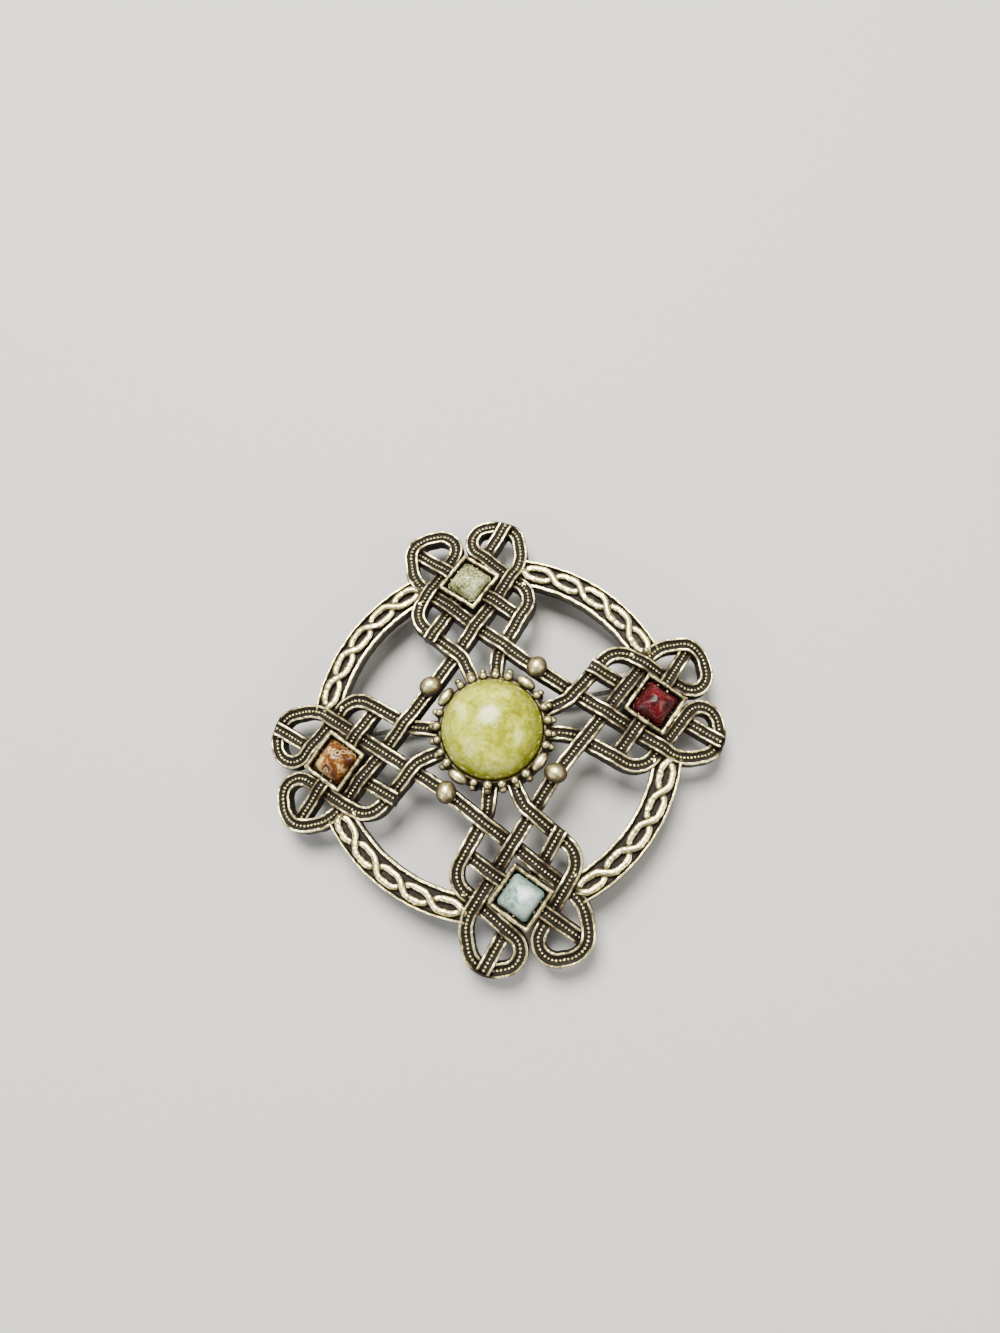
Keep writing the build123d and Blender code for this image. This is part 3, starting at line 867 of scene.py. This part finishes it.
cup = Shell()
cup.loops([roundLoop(r, hubFoot + z) for r, z, worn in hub["wall"]],
          [[worn] * hub["turns"] for r, z, worn in hub["wall"]])
for angle in quarterTurns.values():  # a rib runs down the cup's side under each grain
    for count in range(hub["grains"]):
        turn = math.radians(angle + (count - 2) * hub["grainStep"])
        for level in range(4):
            reach = hub["ribReach"] - 0.03 * level
            height = hubTop - hub["ribTop"] - level * hub["ribStep"]
            middle = (reach * math.cos(turn), reach * math.sin(turn), height)
            ovalBead(cup, middle, turn, hub["rib"], 0.3, 8, 6, -0.8)
cup.piece("stoneCup", cupSilver, "hub_cup", "hub_silver")

grains = Shell()
for angle in quarterTurns.values():  # each grain is a ball at the stone with a lower one outside it
    for count in range(hub["grains"]):
        turn = math.radians(angle + (count - 2) * hub["grainStep"] + 1.2 * math.sin(count * 5.3 + angle))
        size = 1 + 0.10 * math.sin(count * 4.1 + angle)
        for reach, drop, radii, worn in ((hub["grainReach"], 0.0, hub["grain"], 1.0),
                                         (hub["clawReach"], hub["clawDrop"], hub["claw"], 0.85)):
            middle = (reach * math.cos(turn), reach * math.sin(turn), hubTop + hub["beadTop"] - drop)
            ovalBead(grains, middle, turn, [r * size for r in radii], worn, 16, 10, -0.85)
grains.piece("rimGrains", beadSilver, "rim_grains", "bead_silver")

longBeads = Shell()
for angle in diagonals.values():
    turn = math.radians(angle)
    reach = hub["longReach"]
    middle = (reach * math.cos(turn), reach * math.sin(turn), hubTop + hub["beadTop"])
    ovalBead(longBeads, middle, turn + math.pi / 2, hub["longBead"], 1.0, 24, 12, -0.85)
longBeads.piece("rimLongBeads", beadSilver, "rim_long_beads", "bead_silver")

for number, (name, angle) in enumerate(diagonals.items()):
    turn = math.radians(angle)
    reach = studMiddle.x * math.sqrt(2)
    stud = Shell()
    middle = (reach * math.cos(turn), reach * math.sin(turn), studHeight)
    ovalBead(stud, middle, turn + 0.3 * number, hub["stud"], 1.0, 28, 18, -0.9)
    foot = (middle[0], middle[1], lowCorner("stud_top_right").z + hub["studFootRise"])
    ovalBead(stud, foot, turn, hub["studFoot"], 0.1, 20, 8, -0.95)
    label = "".join(part.title() for part in name.split("_"))
    stud.piece("studBall" + label, studSilver, "stud_" + name, "bead_silver")

dome = Shell()
domeFoot = lowCorner("stone_centre").z
domeRows = [(domeRadius * 0.98, domeFoot), (domeRadius, domeFoot + 0.3), (domeRadius, hubTop)]
domeRise = domeTop - hubTop
for step in range(1, hub["domeSteps"]):
    angle = math.pi / 2 * step / hub["domeSteps"]
    reach = domeRadius * math.cos(angle) ** hub["domeShoulder"]
    domeRows.append((reach, hubTop + domeRise * math.sin(angle)))
domeRows.append((0.02, domeTop))
# painted shade: the value falls from the crown to the rim, so the dome darkens towards its edge
domeShade = [min(1.0, max(0.0, (z - hubTop) / domeRise * hub["domeEdge"])) for r, z in domeRows]
dome.loops([roundLoop(r, z) for r, z in domeRows], [[worn] * hub["turns"] for worn in domeShade])
dome.piece("centreStone", glass["green"], "stone_centre", "green_glass", sharp=70)
print("hub, beads and centre stone made")


# pin fittings keep their CAD shapes
for node, material in {"hinge_bracket": castMetal, "hinge_rivet": pinSteel, "pin_stem": pinSteel,
                       "catch_barrel": castMetal, "catch_roller": rollerMetal}.items():
    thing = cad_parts[node]
    thing.data.materials.clear()
    thing.data.materials.append(material)
print("pin fittings finished")


# floor
def makeFloor():
    material, start, place = newMaterial("paleFloor")
    speckle = place.noise(1.2, 4.0)
    colour = (speckle * 0.2 + 0.4).blend(*view["floorColours"])
    finishMaterial(start, {"Base Color": colour, "Roughness": 0.75})
    mesh = bpy.data.meshes.new("floor")
    reach = view["floorReach"]
    corners = [(-reach, -reach, 0), (reach, -reach, 0), (reach, reach, 0), (-reach, reach, 0)]
    mesh.from_pydata(corners, [], [(0, 1, 2, 3)])
    mesh.materials.append(material)
    floor = bpy.data.objects.new("floor", mesh)
    bpy.context.scene.collection.objects.link(floor)


makeFloor()
